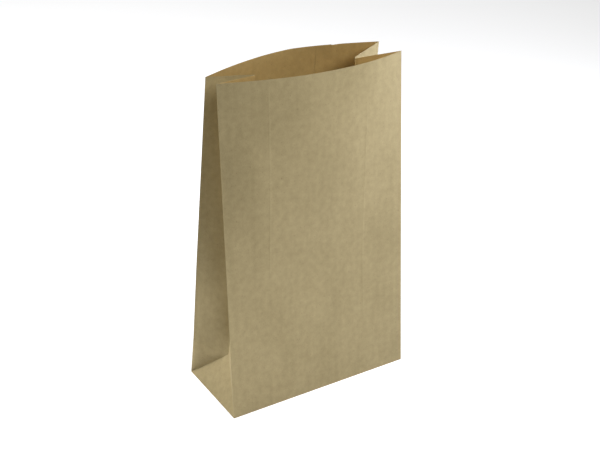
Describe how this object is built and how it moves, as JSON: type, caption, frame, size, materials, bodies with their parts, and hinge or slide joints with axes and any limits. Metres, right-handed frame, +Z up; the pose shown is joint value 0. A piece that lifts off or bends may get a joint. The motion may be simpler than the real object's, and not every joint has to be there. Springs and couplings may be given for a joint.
{
  "type": "paper lunch bag",
  "caption": "Plain brown paper lunch bag standing open, with folded side gussets, a folded flat bottom, a glued back seam and a bowed, straight-cut mouth.",
  "frame": {"origin": "middle of the bottom, on the surface that the bag stands on", "axes": "+Z up from the bottom to the mouth, +X along the width of the front panel, -Y out of the front panel"},
  "size_m": [0.15, 0.0701, 0.26],
  "materials": {
    "kraft_paper": "uncoated brown kraft, matt"
  },
  "bodies": {
    "root": {"paper_bag": "kraft_paper"}
  },
  "joints": []
}
